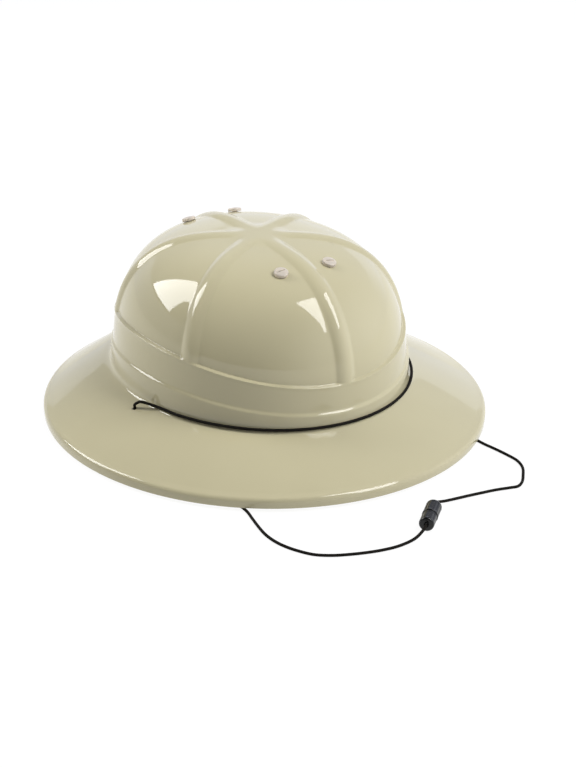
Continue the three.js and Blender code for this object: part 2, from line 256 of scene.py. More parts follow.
def set_camera():
    """Aims the camera at the middle of the picture, so that it needs no shift."""
    data = bpy.data.cameras.new("camera")
    camera = bpy.data.objects.new("camera", data)
    bpy.context.scene.collection.objects.link(camera)
    bpy.context.scene.camera = camera
    aim_x = (PICTURE[0] / 2 - MAIN_POINT[0]) / FOCAL_PIXELS
    aim_y = (PICTURE[1] / 2 - MAIN_POINT[1]) / FOCAL_PIXELS
    ahead = (CAMERA_RIGHT * aim_x - CAMERA_UP * aim_y - CAMERA_BACK).normalized()
    right = ahead.cross(CAMERA_UP).normalized()
    up = right.cross(ahead).normalized()
    turn = Matrix((right, up, -ahead)).transposed()
    camera.matrix_world = Matrix.Translation(CAMERA_PLACE) @ turn.to_4x4()
    data.sensor_width = SENSOR_WIDTH
    data.lens = FOCAL_PIXELS * SENSOR_WIDTH / PICTURE[1]
    data.clip_start = NEAREST_SEEN
    data.clip_end = FARTHEST_SEEN


set_camera()


# Sections of the shell. Theta goes round the crown's axis, from the front to the wearer's left.

def crown_radius(theta, out):
    """Radius of an ellipse about the crown's axis."""
    a = CROWN_HALF_WIDTH + out
    b = CROWN_HALF_LENGTH + out
    return a * b / np.hypot(b * np.sin(theta), a * np.cos(theta))


def rim_radius(theta):
    """Distance from the crown's axis to the rim, whose own centre lies forward of it."""
    p = (np.sin(theta) / RIM_HALF_WIDTH) ** 2 + (np.cos(theta) / RIM_HALF_LENGTH) ** 2
    q = CROWN_BACK * np.cos(theta) / RIM_HALF_LENGTH ** 2
    s = (CROWN_BACK / RIM_HALF_LENGTH) ** 2 - 1
    return (q + np.sqrt(q * q - p * s)) / p


def side_share(theta):
    """0 at the front and the back, and 1 at the sides, where step and band arch up."""
    return (crown_radius(theta, 0) * np.sin(theta) / CROWN_HALF_WIDTH) ** 2


def step_z(theta):
    return STEP_HEIGHT + STEP_ARCH * side_share(theta)


def shoulder_z(theta):
    return SHOULDER_HEIGHT + (STEP_ARCH + BAND_ARCH) * side_share(theta)


def dome_point(theta, psi):
    """Distance from the axis, height and outward normal of the dome's panels."""
    radius = crown_radius(theta, 0)

    def at(angle):
        return (
            radius * np.cos(angle) ** (2 / PLAN_POWER),
            DOME_BASE + DOME_RISE * np.sin(angle) ** (2 / RISE_POWER),
        )

    nudge = 0.004
    r0, z0 = at(np.maximum(psi - nudge, nudge))
    r1, z1 = at(np.minimum(psi + nudge, math.pi / 2 - nudge))
    run = np.hypot(r1 - r0, z1 - z0)
    r, z = at(psi)
    return r, z, (z1 - z0) / run, (r0 - r1) / run


def psi_at_height(z):
    return np.arcsin(((z - DOME_BASE) / DOME_RISE) ** (RISE_POWER / 2))


def foot_curve(theta, t):
    """The fillet between the crown's wall, at t = 0, and the brim, at t = 1."""
    corner = (crown_radius(theta, FOOT_OUT), FOOT_HEIGHT + 0 * theta)
    wall_end = (corner[0] - FOOT_DRAFT, corner[1] + FOOT_RISE)
    brim_end = (corner[0] + FILLET_RUN, corner[1] - FILLET_DROP)
    return [wall_end[i] * (1 - t) ** 3 + 3 * corner[i] * t * (1 - t) + brim_end[i] * t ** 3 for i in (0, 1)]


def brim_point(theta, share):
    """A point of the brim's top, from the fillet to the lip."""
    r0, z0 = foot_curve(theta, 1)
    r1 = rim_radius(theta) - LIP_ROUND
    return r0 + (r1 - r0) * share, z0 + (LIP_HEIGHT - z0) * share + 4 * BRIM_BULGE * share * (1 - share)


def brim_slope(theta):
    r0, z0 = brim_point(theta, 0)
    r1, z1 = brim_point(theta, 1)
    return np.arctan((z0 - z1) / (r1 - r0))


def brim_top(x, y):
    """Height of the brim's top at a place."""
    theta = math.atan2(x, CROWN_BACK - y)
    reach = math.hypot(x, CROWN_BACK - y)
    inner = brim_point(theta, 0)[0]
    outer = brim_point(theta, 1)[0]
    return float(brim_point(theta, (reach - inner) / (outer - inner))[1])


def shoulder_point(theta):
    """Upper edge of the band, where the ledge to the panels begins."""
    r, z, nr, nz = dome_point(theta, psi_at_height(shoulder_z(theta)))
    return r + RELIEF * nr, z + RELIEF * nz - LEDGE_DROP


# Braided cord

# Cuts of each stretch of a route
PATH_CUTS = 12
# Sides of the tube, its steps, its strands, the length of a strand's turn, and the height of the waves
BRAID_SIDES = 16
BRAID_STEP = 0.45
BRAID_CARRIERS = 8
BRAID_PITCH = 5.2
BRAID_DEPTH = 0.045
# A line that starts steeper than this takes its first side from +X, and any other from +Z
STEEP = 0.9


def distance_along(line):
    return np.concatenate([[0], np.cumsum(np.linalg.norm(np.diff(line, axis=0), axis=1))])


def smooth_path(points, step):
    """A centripetal curve through the points, cut into equal steps, and its length."""
    p = np.array(points, float)
    ends = [2 * p[0] - p[1], *p, 2 * p[-1] - p[-2]]

    def mix(a, b, from_t, to_t, t):
        return (to_t - t) / (to_t - from_t) * a + (t - from_t) / (to_t - from_t) * b

    curve = []
    for i in range(1, len(ends) - 2):
        p0, p1, p2, p3 = ends[i - 1:i + 3]
        t0 = 0.0
        t1 = t0 + math.sqrt(np.linalg.norm(p1 - p0))
        t2 = t1 + math.sqrt(np.linalg.norm(p2 - p1))
        t3 = t2 + math.sqrt(np.linalg.norm(p3 - p2))
        for t in np.linspace(t1, t2, PATH_CUTS, endpoint=False):
            a1, a2, a3 = mix(p0, p1, t0, t1, t), mix(p1, p2, t1, t2, t), mix(p2, p3, t2, t3, t)
            b1, b2 = mix(a1, a2, t0, t2, t), mix(a2, a3, t1, t3, t)
            curve.append(mix(b1, b2, t1, t2, t))
    curve = np.array([*curve, p[-1]])
    along = distance_along(curve)
    count = max(2, int(round(along[-1] / step)) + 1)
    want = np.linspace(0, along[-1], count)
    return np.stack([np.interp(want, along, curve[:, axis]) for axis in range(3)], -1), float(along[-1])


def side_vectors(line):
    """Two directions across the line at each point, square to each other and carried along without twist."""
    tangent = np.gradient(line, axis=0)
    tangent /= np.linalg.norm(tangent, axis=1)[:, None]
    side = np.cross(tangent[0], (0.0, 0.0, 1.0) if abs(tangent[0][2]) < STEEP else (1.0, 0.0, 0.0))
    side /= np.linalg.norm(side)
    sides = []
    for forward in tangent:
        side = side - forward * np.dot(side, forward)
        side /= np.linalg.norm(side)
        sides.append(side)
    sides = np.array(sides)
    return sides, np.cross(tangent, sides)


def lay_out_braid(made, along):
    """Gives the tube its UVs: u in turns of the braid along it, and v once round it."""
    layer = made.data.uv_layers.new(name="run")
    for polygon in made.data.polygons:
        corners = [made.data.loops[i].vertex_index for i in polygon.loop_indices]
        if len(corners) != 4:
            continue
        at_seam = max(v % BRAID_SIDES for v in corners) == BRAID_SIDES - 1
        for i, v in zip(polygon.loop_indices, corners):
            column = v % BRAID_SIDES
            if column == 0 and at_seam:
                column = BRAID_SIDES
            layer.data[i].uv = (along[v // BRAID_SIDES] / BRAID_PITCH, column / BRAID_SIDES)


def braided_tube(name, line, radius):
    """A tube whose surface is a braid of strands that go over and under."""
    sides, others = side_vectors(line)
    along = distance_along(line)
    phi = 2 * np.pi * np.arange(BRAID_SIDES) / BRAID_SIDES
    rings = []
    for centre, side, other, distance in zip(line, sides, others, along):
        twist = 2 * np.pi * distance / BRAID_PITCH
        a = np.cos(BRAID_CARRIERS / 2 * (phi + twist))
        b = np.cos(BRAID_CARRIERS / 2 * (phi - twist))
        r = (radius - BRAID_DEPTH + BRAID_DEPTH * (a * b))[:, None]
        rings.append(centre + np.cos(phi)[:, None] * side * r + np.sin(phi)[:, None] * other * r)
    made = make_object(name, np.concatenate(rings) * MM, closed_tube_faces(len(line), BRAID_SIDES))
    lay_out_braid(made, along)
    return made


# Free chin cords

def clasp_point(along):
    """A point on the clasp's axis, measured from its middle towards the socket's end."""
    return np.array([
        CLASP_CENTRE[0] + along * math.cos(CLASP_HEADING),
        CLASP_CENTRE[1] + along * math.sin(CLASP_HEADING),
        SOCKET_RADIUS,
    ])


def chin_cord(name, side, route):
    """One free stretch: down through its hole, under the brim and out to its half of the clasp."""
    hole = (side * CORD_HOLE_X, CORD_HOLE_Y, brim_top(CORD_HOLE_X, CORD_HOLE_Y) + CORD_END_RISE)
    top = on_surface(hole) / MM
    start = [top - np.array([0, 0, drop]) for drop in CORD_PLUMB]
    clasp_end = CLASP_HALF + GAP
    end = [clasp_point(side * (clasp_end + CORD_STRAIGHT_AT_CLASP)), clasp_point(side * clasp_end)]
    points = [*start, *[np.array(p, float) for p in route], *end]
    line, length = smooth_path(points, BRAID_STEP)
    return braided_tube(name, line, CORD_RADIUS), line, length


chin_left, line_left, length_left = chin_cord("braided_chin_cord_left", 1, LEFT_SIDE_ROUTE)
chin_right, line_right, length_right = chin_cord("braided_chin_cord_right", -1, RIGHT_SIDE_ROUTE)
declare(chin_left, "chin_cord_left")
declare(chin_right, "chin_cord_right")


# Turned pieces

def turned_piece(rows, sides, groove):
    """Skin turned about +Y through rows that go up; groove gives how deep the surface lies at an angle."""
    phi = 2 * np.pi * np.arange(sides) / sides
    vertices = []
    for r, along in rows:
        radius = r - groove(phi, along)
        vertices.append(np.stack([radius * np.sin(phi), np.full(sides, along), radius * np.cos(phi)], -1))
    return np.concatenate(vertices), closed_tube_faces(len(rows), sides)


def round_corner(a, b, c, radius, count):
    """Points that round the corner b between a and c."""
    a, b, c = (np.array(p, float) for p in (a, b, c))
    u = (a - b) / np.linalg.norm(a - b)
    v = (c - b) / np.linalg.norm(c - b)
    start, end = b + u * radius, b + v * radius
    t = np.linspace(0, 1, count)[:, None]
    return [tuple(p) for p in start * (1 - t) ** 2 + 2 * b * t * (1 - t) + end * t * t]


# Clasp. The seam's place is measured from the clasp's middle, and the socket's well takes the plug's post.

CLASP_SIDES = 64
SKIN_STEP = 0.5
SEAM = CLASP_PLUG_LENGTH - CLASP_HALF
WELL_RADIUS = SOCKET_RADIUS - CLASP_WALL
WELL_DEPTH = 2.5
WELL_FLOOR_RADIUS = 0.9
SOCKET_LIP = 0.9
POST_PLAY = 0.4
POST_LENGTH = 2.0
POST_TIP_RADIUS = 0.8
POST_TIP_RISE = 0.2
# Radius and depth of the points of the funnel that the cord goes in by, at both ends
CORD_FUNNEL = [(1.7, 0.0), (1.25, 0.5), (1.1, 1.5)]

# Grip flutes: how steep their flanks and how broad the lands between them are, and their fade at both ends
FLUTE_STEEPNESS = 1.6
FLUTE_LAND = 0.2
FLUTE_FADE = 0.5
# Plain lengths that the flutes leave beside the seam and at the end, for the socket and for the plug
SOCKET_SEAM_LAND, SOCKET_END_LAND = 1.4, 2.4
PLUG_SEAM_LAND, PLUG_END_LAND = 1.2, 1.6


def flutes(count, depth, low, high):
    def groove(phi, along):
        inside = np.clip((along - low) / FLUTE_FADE, 0, 1) * np.clip((high - along) / FLUTE_FADE, 0, 1)
        wave = np.clip(np.cos(count * phi) * FLUTE_STEEPNESS - FLUTE_LAND, 0, 1)
        return depth * inside * wave
    return groove


def subdivided(points, step):
    """The same section with no stretch longer than the step."""
    out = [points[0]]
    for p, q in zip(points, points[1:]):
        n = max(1, int(math.ceil(math.dist(p, q) / step)))
        out += [(p[0] + (q[0] - p[0]) * i / n, p[1] + (q[1] - p[1]) * i / n) for i in range(1, n + 1)]
    return out


def socket_section():
    """From the well's floor out over the seam's edge, up the barrel and down into the funnel."""
    well_edge, seam_edge = (WELL_RADIUS, SEAM), (SOCKET_RADIUS, SEAM)
    floor_edge, end_edge = (WELL_RADIUS, SEAM + WELL_DEPTH), (SOCKET_RADIUS, CLASP_HALF)
    return [
        (WELL_FLOOR_RADIUS, SEAM + WELL_DEPTH), floor_edge,
        *round_corner(floor_edge, well_edge, seam_edge, radius=0.2, count=3),
        *round_corner(well_edge, seam_edge, end_edge, radius=0.4, count=4),
        (SOCKET_RADIUS, SEAM + SOCKET_LIP),
        *round_corner(seam_edge, end_edge, (0, CLASP_HALF), radius=2.0, count=9),
        *[(r, CLASP_HALF - depth) for r, depth in CORD_FUNNEL],
    ]


def plug_section():
    """From the funnel out round the end, up the barrel to the seam and up the post."""
    end_edge, seam_edge = (PLUG_RADIUS, -CLASP_HALF), (PLUG_RADIUS, SEAM - GAP)
    post = WELL_RADIUS - POST_PLAY
    return [
        *[(r, depth - CLASP_HALF) for r, depth in reversed(CORD_FUNNEL)],
        *round_corner((0, -CLASP_HALF), end_edge, seam_edge, radius=1.7, count=9),
        *round_corner(end_edge, seam_edge, (0, SEAM - GAP), radius=0.35, count=4),
        (post, SEAM - GAP), (post, SEAM + POST_LENGTH),
        (POST_TIP_RADIUS, SEAM + POST_LENGTH + POST_TIP_RISE),
    ]


def clasp_half(name, section, groove):
    """A half of the clasp, turned on its axis and laid in its place on the surface."""
    vertices, faces = turned_piece(subdivided(section, SKIN_STEP), CLASP_SIDES, groove)
    across, along, height = vertices.T
    c, s = math.cos(CLASP_HEADING), math.sin(CLASP_HEADING)
    laid = np.stack([
        CLASP_CENTRE[0] + along * c + across * s,
        CLASP_CENTRE[1] + along * s - across * c,
        SOCKET_RADIUS + height,
    ], -1)
    return make_object(name, laid * MM, faces)


socket_grip = flutes(count=10, depth=0.32, low=SEAM + SOCKET_SEAM_LAND, high=CLASP_HALF - SOCKET_END_LAND)
plug_grip = flutes(count=8, depth=0.3, low=PLUG_END_LAND - CLASP_HALF, high=SEAM - PLUG_SEAM_LAND)
socket = clasp_half("clasp_socket_barrel", socket_section(), socket_grip)
declare(socket, "clasp_socket")
plug = clasp_half("clasp_plug_barrel", plug_section(), plug_grip)
declare(plug, "clasp_plug")


def state_cord(line, length):
    """Works out the cord's start, its length and every fourth point of its line, but hands them on nowhere.
    """
    tuple(line[0] * MM)
    length * MM
    [tuple(p) for p in line[::4] * MM]


state_cord(line_left, length_left)
state_cord(line_right, length_right)


# Relief of the shell

def eased(t):
    t = np.clip(t, 0, 1)
    return t * t * (3 - 2 * t)


def rib_angle(rib):
    """Direction of a rib's centre line: the ribs at the sides lean towards the front and the back."""
    even = 2 * math.pi * rib / RIB_COUNT
    return even - RIB_LEAN * math.sin(2 * even)


def rib_distance(theta, radius):
    """Distance, in plan, from the nearest rib's centre line."""
    away = [np.abs((theta - rib_angle(rib) + math.pi) % (2 * math.pi) - math.pi) for rib in range(RIB_COUNT)]
    return radius * np.sin(np.minimum.reduce(away))


def raised(theta, radius, height):
    """Share of the full relief: 1 on a rib's crest and the band, less near the star, and 0 on the panels."""
    arch = 1 - (rib_distance(theta, radius) / (RIB_WIDTH / 2 + RIB_FLANK)) ** 2
    on_rib = 0.5 * (arch + np.sqrt(arch ** 2 + RIB_FOOT_SOFTNESS ** 2))
    on_band = 1 - eased((height + LEDGE_DROP) / LEDGE_DROP)
    on_star = eased((STAR_RADIUS + STAR_FADE - radius) / STAR_FADE)
    softer = STAR_RELIEF + (1 - STAR_RELIEF) * eased((radius - STAR_RADIUS) / STAR_REACH)
    return softer * (1 - (1 - on_rib) * (1 - on_band) * (1 - on_star))


# Rings of the shell

# Distances of the columns from a rib's centre line, out to where the panel begins
RIB_COLUMNS = [0, 0.9, 1.8, 2.7, 3.5, 4.2, 4.8, 5.3, 5.8, 6.2, 6.6, 7.0, 7.5, 8.1, 8.9, 10.0]
# Near the top they draw in, to take at most this share of the way to the middle of the panel
RIB_COLUMNS_SHARE = 0.9
PANEL_COLUMNS = 18

# Rings of the outside, as shares of the way: of the brim from the fillet to its edge, of the fillet from the
# wall to the brim, and of the band from the step to the shoulder
BRIM_EDGE_SHARE = 0.92
BRIM_RINGS = [0.89, *np.linspace(0.86, 0, 22)]
FILLET_RINGS = np.linspace(0.92, 0.06, 12)
BAND_RINGS = (0.15, 0.3, 0.45, 0.6, 0.75, 0.86, 0.94)
# Rings of the dome: heights above the shoulder, then shares of the way from the last of these to the pole
SHOULDER_RINGS = [*np.linspace(-1.9, -0.1, 13), 0.1, 0.35, 0.7, 1.2, 1.8, 2.6, 3.6, 5.0, 6.8, 9.0]
CAP_RINGS = np.linspace(0, 1, 46)[1:-1]
CAP_CROWDING = 1.35
# Rings of the inside of the fillet and the brim
INNER_FILLET_RINGS = (0, 0.3, 0.6)
INNER_BRIM_RINGS = np.linspace(0, 0.9, 10)
# Breadth of the lip's lower edge, and a length that only gives the direction of the brim's underside
LIP_SEAT = 1.0
INNER_BRIM_END = 6.0


def column_angles(radius):
    """Directions of the columns for a ring of this radius, from one rib to the next all the way round."""
    half = math.pi / RIB_COUNT
    reach = min(1.0, RIB_COLUMNS_SHARE * half * radius / RIB_COLUMNS[-1])
    near = np.arcsin(np.minimum(reach * np.array(RIB_COLUMNS) / radius, 1))
    angles = []
    for rib in range(RIB_COUNT):
        start, end = rib_angle(rib), rib_angle(rib + 1)
        panel = np.linspace(start + near[-1], end - near[-1], PANEL_COLUMNS + 1)[1:-1]
        angles += [start + near, panel, end - near[:0:-1]]
    return np.concatenate(angles)


LOW_ANGLES = column_angles(float(crown_radius(math.pi / 4, 0)))


def place(theta, r, z):
    return np.stack([r * np.sin(theta), CROWN_BACK - r * np.cos(theta), z], -1)


def rounded_profile(corners, radii, counts):
    """A section through corners that hold one value per column, each rounded by its radius."""
    rows = [np.stack(corners[0], -1)]
    for k, (radius, count) in enumerate(zip(radii, counts)):
        a, b, c = (np.stack(corner, -1) for corner in corners[k:k + 3])
        u = (a - b) / np.linalg.norm(a - b, axis=-1)[:, None]
        v = (c - b) / np.linalg.norm(c - b, axis=-1)[:, None]
        start, end = b + u * radius, b + v * radius
        for t in np.linspace(0, 1, count):
            rows.append(start * (1 - t) ** 2 + 2 * b * t * (1 - t) + end * t * t)
    rows.append(np.stack(corners[-1], -1))
    return rows


def outer_rings():
    """Rings of the outside, from the lip's lower edge over the brim and up to the ledge."""
    theta = LOW_ANGLES
    rim = rim_radius(theta)
    level = 0 * rim
    brim_edge = brim_point(theta, BRIM_EDGE_SHARE)
    lip = [(rim - LIP_SEAT, level), (rim, level), (rim, level + LIP_HEIGHT), brim_edge]
    rows = rounded_profile(lip, radii=[LIP_EDGE, LIP_SOFTNESS], counts=[3, 10])
    rows += [np.stack(brim_point(theta, share), -1) for share in BRIM_RINGS]
    rows += [np.stack(foot_curve(theta, t), -1) for t in FILLET_RINGS]
    foot = foot_curve(theta, 0)
    step_low = (crown_radius(theta, RAISED_OUT + STEP_RISE), step_z(theta) - STEP_RISE)
    step_high = (crown_radius(theta, RAISED_OUT), step_z(theta))
    top = shoulder_point(theta)
    step = [foot, step_low, step_high, top]
    rows += rounded_profile(step, radii=[STEP_SOFTNESS, STEP_SOFTNESS], counts=[7, 7])[:-1]
    for share in BAND_RINGS:
        rows.append(np.stack([step_high[i] + (top[i] - step_high[i]) * share for i in (0, 1)], -1))
    return [place(theta, row[:, 0], row[:, 1]) for row in rows]


def shoulder_psi(theta, height):
    """Angle up the dome at a height above the shoulder."""
    return psi_at_height(shoulder_z(theta) + height)


def cap_psi(theta, share):
    """Angle up the dome at a share of the way from the last ring near the shoulder to the pole."""
    start = shoulder_psi(theta, SHOULDER_RINGS[-1])
    return start + (math.pi / 2 - start) * (1 - (1 - share) ** CAP_CROWDING)


def dome_ring(psi_of, value, inset):
    """One ring, with its columns spaced for the radius that it has between front and side."""
    middle = dome_point(math.pi / 4, psi_of(math.pi / 4, value))
    theta = column_angles(float(middle[0]))
    r, z, nr, nz = dome_point(theta, psi_of(theta, value))
    out = RELIEF * raised(theta, r, z - shoulder_z(theta)) - inset
    return place(theta, r + out * nr, z + out * nz)


def dome_rings(inset):
    """Rings of the dome from the ledge to the pole, all moved in by the inset."""
    low = [dome_ring(shoulder_psi, height, inset) for height in SHOULDER_RINGS]
    return low + [dome_ring(cap_psi, share, inset) for share in CAP_RINGS]


def inner_rings():
    """Rings of the inside, from the shoulder down and out under the brim to the lip's lower edge."""
    theta = LOW_ANGLES
    top = shoulder_point(theta)
    rings = [place(theta, top[0] - WALL, top[1] - WALL)]
    rings.append(place(theta, crown_radius(theta, RAISED_OUT) - WALL, step_z(theta) - STEP_RISE))
    slope = brim_slope(theta)
    for t in INNER_FILLET_RINGS:
        r, z = foot_curve(theta, t)
        turn_by = math.pi / 2 - (math.pi / 2 - slope) * t
        rings.append(place(theta, r - WALL * np.sin(turn_by), z - WALL * np.cos(turn_by)))
    for share in INNER_BRIM_RINGS:
        r, z = brim_point(theta, share)
        rings.append(place(theta, r - WALL * np.sin(slope), z - WALL * np.cos(slope)))
    rim = rim_radius(theta)
    level = 0 * rim
    rise = (WALL - LIP_ROUND) * np.tan(slope)
    corner = (rim - WALL, LIP_HEIGHT + rise - WALL / np.cos(slope))
    under_brim = (corner[0] - INNER_BRIM_END, corner[1] + INNER_BRIM_END * np.tan(slope))
    lip = [under_brim, corner, (rim - WALL, level), (rim - LIP_SEAT, level)]
    rows = rounded_profile(lip, radii=[LIP_INNER_ROUND, LIP_EDGE], counts=[5, 3])
    return rings + [place(theta, row[:, 0], row[:, 1]) for row in rows[1:-1]]


def moulded_shell():
    """Inside and outside as one closed skin; the inside of the dome has every second ring."""
    rings = dome_rings(WALL)[::-1][1::2] + inner_rings() + outer_rings() + dome_rings(0.0)
    columns = len(LOW_ANGLES)
    top = DOME_BASE + DOME_RISE + RELIEF * STAR_RELIEF
    points = np.concatenate([*rings, [[0, CROWN_BACK, top - WALL], [0, CROWN_BACK, top]]])
    inner_pole, outer_pole = len(points) - 2, len(points) - 1
    faces = ring_faces(len(rings), columns)
    last = (len(rings) - 1) * columns
    for i in range(columns):
        j = (i + 1) % columns
        faces.append((inner_pole, j, i))
        faces.append((last + i, last + j, outer_pole))
    return make_object("moulded_shell", on_surface(points), faces)


# Holes of the shell. The drills are longer than the wall is thick, and their sides are counted round.

DRILL_SIDES = 40
CORD_DRILL_LENGTH = 12.0
RIVET_DRILL_LENGTH = 10.0
SHELL_CREASE = 50


def rivet_seat(x, forward):
    """Place and outward direction of a rivet on the dome's panel."""
    theta = math.atan2(x, forward)
    reach = math.hypot(x, forward)
    share = (reach / float(crown_radius(theta, 0))) ** PLAN_POWER
    r, z, nr, nz = dome_point(theta, math.acos(math.sqrt(share)))
    point = np.array([x, CROWN_BACK - forward, float(z)])
    normal = np.array([nr * math.sin(theta), -nr * math.cos(theta), float(nz)], float)
    tail = on_surface(point)
    tip = on_surface(point + normal / np.linalg.norm(normal))
    return Vector(tail), Vector((tip - tail) / MM).normalized()


SEATS = {
    "front_right": rivet_seat(-RIVET_SPREAD, RIVET_FORWARD),
    "front_left": rivet_seat(RIVET_SPREAD, RIVET_FORWARD),
    "rear_right": rivet_seat(-RIVET_SPREAD, -RIVET_BEHIND),
    "rear_left": rivet_seat(RIVET_SPREAD, -RIVET_BEHIND),
}


def drill(bm, stand, radius, length):
    bmesh.ops.create_cone(bm, cap_ends=True, segments=DRILL_SIDES, radius1=radius * MM, radius2=radius * MM,
                          depth=length * MM, matrix=stand)


def drills():
    """One piece that holds the cutters of the cord holes and the rivet holes."""
    bm = bmesh.new()
    for side in (-1, 1):
        centre = on_surface((side * CORD_HOLE_X, CORD_HOLE_Y, brim_top(CORD_HOLE_X, CORD_HOLE_Y)))
        stand = Matrix.Translation(Vector(centre)) @ Matrix.Rotation(-TILT, 4, "X")
        drill(bm, stand, CORD_HOLE_RADIUS, CORD_DRILL_LENGTH)
    for point, normal in SEATS.values():
        stand = Matrix.Translation(point) @ normal.to_track_quat("Z", "Y").to_matrix().to_4x4()
        drill(bm, stand, RIVET_SHANK / 2 + GAP, RIVET_DRILL_LENGTH)
    return object_from_bmesh("drills", bm)


helmet_shell = moulded_shell()
cut(helmet_shell, drills())
mark_sharp(helmet_shell, SHELL_CREASE)
declare(helmet_shell, "helmet_shell")


# Crown cord

CROWN_CORD_REACH = math.radians(72)
CROWN_CORD_SEATS = 15
CORD_SEAT_PLAY = 1.2 * GAP


def cord_seat(theta):
    """The cord's centre where it lies on the fillet, in the middle between wall and brim."""
    r, z = foot_curve(theta, 0.5)
    wall_end, brim_end = foot_curve(theta, 0), foot_curve(theta, 1)
    run = math.hypot(brim_end[0] - wall_end[0], wall_end[1] - brim_end[1])
    off = CORD_RADIUS + CORD_SEAT_PLAY
    reach = r + off * (wall_end[1] - brim_end[1]) / run
    height = z + off * (brim_end[0] - wall_end[0]) / run
    return np.array([reach * math.sin(theta), CROWN_BACK - reach * math.cos(theta), height])


def crown_cord():
    """The stretch from hole to hole round the front of the crown."""
    hole_top = brim_top(CORD_HOLE_X, CORD_HOLE_Y) + CORD_END_RISE + GAP

    def lead(sign):
        hole_x = sign * CORD_HOLE_X
        return [np.array([hole_x + sign * x, CORD_HOLE_Y + y, hole_top + z]) for x, y, z in CROWN_CORD_LEAD]

    arc = [cord_seat(theta) for theta in np.linspace(-CROWN_CORD_REACH, CROWN_CORD_REACH, CROWN_CORD_SEATS)]
    line = smooth_path([*lead(-1), *arc, *lead(1)[::-1]], BRAID_STEP)[0]
    return braided_tube("braided_crown_cord", on_surface(line) / MM, CORD_RADIUS)


crown = crown_cord()
declare(crown, "crown_cord")


# Rivets

RIVET_SIDES = 56
RIVET_CREASE = 35
SLOT_ROUND = 0.2
# Share of the head's height where its edge ends
HEAD_EDGE_SHARE = 0.8
# Radius, and share of the head's height, of the points of its low dome
HEAD_DOME = [(2.4, 0.93), (1.2, 0.985), (0.2, 1.0)]
COLLAR_CENTRE_RADIUS = 0.9


def rivet_section():
    """From the collar inside the wall up the shank and over the flat head outside."""
    head, shank, collar = RIVET_HEAD / 2, RIVET_SHANK / 2, RIVET_COLLAR / 2
    under = -WALL - GAP - RIVET_PLAY
    low = under - RIVET_COLLAR_HEIGHT
    shoulder = GAP + HEAD_EDGE_SHARE * RIVET_HEAD_HEIGHT
    return [
        (COLLAR_CENTRE_RADIUS, low),
        *round_corner((0, low), (collar, low), (collar, under), radius=0.35, count=4),
        *round_corner((collar, low), (collar, under), (shank, under), radius=0.25, count=3),
        (shank, under), (shank, GAP),
        *round_corner((shank, GAP), (head, GAP), (head, shoulder), radius=0.3, count=4),
        *round_corner((head, GAP), (head, shoulder), (0, GAP + RIVET_HEAD_HEIGHT), radius=0.8, count=7),
        *[(r, GAP + share * RIVET_HEAD_HEIGHT) for r, share in HEAD_DOME],
    ]


def smooth_skin(phi, along):
    return 0 * phi


def slot_cutter():
    """A rounded bar across the top of the head."""
    bar = bmesh.new()
    bmesh.ops.create_cube(bar, size=MM)
    bmesh.ops.scale(bar, vec=(SLOT_LENGTH, 2 * SLOT_DEPTH, SLOT_WIDTH), verts=bar.verts)
    bmesh.ops.translate(bar, vec=(0, (GAP + RIVET_HEAD_HEIGHT) * MM, 0), verts=bar.verts)
    bmesh.ops.bevel(bar, geom=bar.edges[:], offset=SLOT_ROUND * MM, segments=3, profile=0.5, affect="EDGES")
    return object_from_bmesh("slot", bar)


def rivet(corner, seat):
    """A slotted rivet, turned about +Y and then stood on its seat."""
    point, normal = seat
    vertices, faces = turned_piece(rivet_section(), RIVET_SIDES, smooth_skin)
    made = make_object("slotted_rivet_" + corner, vertices * MM, faces)
    cut(made, slot_cutter())
    mark_sharp(made, RIVET_CREASE)
    turn_to = Vector((0, 1, 0)).rotation_difference(normal).to_matrix().to_4x4()
    made.data.transform(Matrix.Translation(point) @ turn_to)
    declare(made, "rivet_" + corner)
    return made


rivets = [rivet(corner, seat) for corner, seat in SEATS.items()]


# Materials

class Value:
    """A socket that takes part in Python expressions and adds the nodes for them."""

    def __init__(self, tree, socket):
        self.tree = tree
        self.socket = socket

    def node(self, kind, settings=None, **inputs):
        """Adds a node: its settings first, then its inputs by name, or by number as i0, i1 and so on."""
        made = self.tree.nodes.new(kind)
        for name, value in (settings or {}).items():
            setattr(made, name, value)
        for name, value in inputs.items():
            key = int(name[1:]) if name[1:].isdigit() else name.replace("_", " ")
            if isinstance(value, Value):
                self.tree.links.new(value.socket, made.inputs[key])
            else:
                made.inputs[key].default_value = value
        return made

    def out(self, made, index=0):
        return Value(self.tree, made.outputs[index])

    def parts(self):
        """The three numbers of a vector."""
        made = self.node("ShaderNodeSeparateXYZ", Vector=self)
        return self.out(made, 0), self.out(made, 1), self.out(made, 2)

    def math(self, operation, a, b=0.0):
        return self.out(self.node("ShaderNodeMath", {"operation": operation}, i0=a, i1=b))

    def __add__(self, other):
        return self.math("ADD", self, other)

    def __radd__(self, other):
        return self.math("ADD", other, self)

    def __sub__(self, other):
        return self.math("SUBTRACT", self, other)

    def __rsub__(self, other):
        return self.math("SUBTRACT", other, self)

    def __mul__(self, other):
        return self.math("MULTIPLY", self, other)

    def __rmul__(self, other):
        return self.math("MULTIPLY", other, self)


def new_finish(name):
    """A new material and its surface."""
    material = bpy.data.materials.new(name)
    material.use_nodes = True
    return material, material.node_tree.nodes["Principled BSDF"]


def places(owner, kind="Object"):
    """The places where a material or the world is looked up."""
    where = owner.node_tree.nodes.new("ShaderNodeTexCoord")
    return Value(owner.node_tree, where.outputs[kind])


def between(mask, low, high):
    """A colour that goes from low to high with the mask."""
    mix = mask.node("ShaderNodeMix", {"data_type": "RGBA"}, i0=mask, i6=(*low, 1.0), i7=(*high, 1.0))
    return mask.out(mix, 2)


def noise(at, scale, detail):
    return at.out(at.node("ShaderNodeTexNoise", Vector=at, Scale=scale, Detail=detail))


